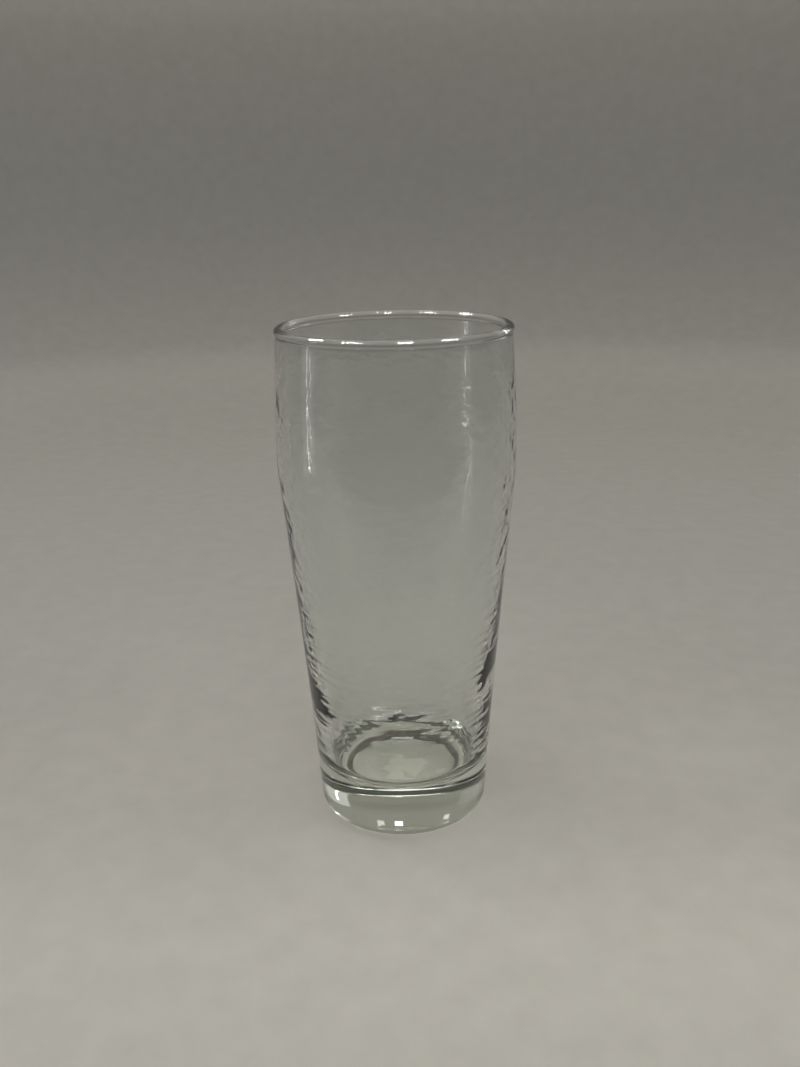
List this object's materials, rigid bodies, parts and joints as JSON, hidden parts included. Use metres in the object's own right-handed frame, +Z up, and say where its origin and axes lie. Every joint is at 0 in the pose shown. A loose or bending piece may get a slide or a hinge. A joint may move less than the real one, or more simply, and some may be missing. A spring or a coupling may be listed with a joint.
{
  "type": "pint glass",
  "caption": "Clear tapered pint glass with a thick base, a shallow belly that turns in below the rim and a fire-polished lip, for cold drinks.",
  "frame": {"origin": "centre of the foot, on the plane that the glass stands on", "axes": "+Z up along the axis of the glass, from the foot to the lip; the glass is round about it, so +X and +Y are free"},
  "size_m": [0.0758, 0.0758, 0.165],
  "materials": {
    "soda_lime_glass": "clear, glossy and fire-polished, with a faint grey-green tint where it is thick"
  },
  "bodies": {
    "root": {"sham_base": "soda_lime_glass", "flared_wall": "soda_lime_glass", "belly_wall": "soda_lime_glass", "neck_wall": "soda_lime_glass", "fire_polished_lip": "soda_lime_glass"}
  },
  "joints": []
}
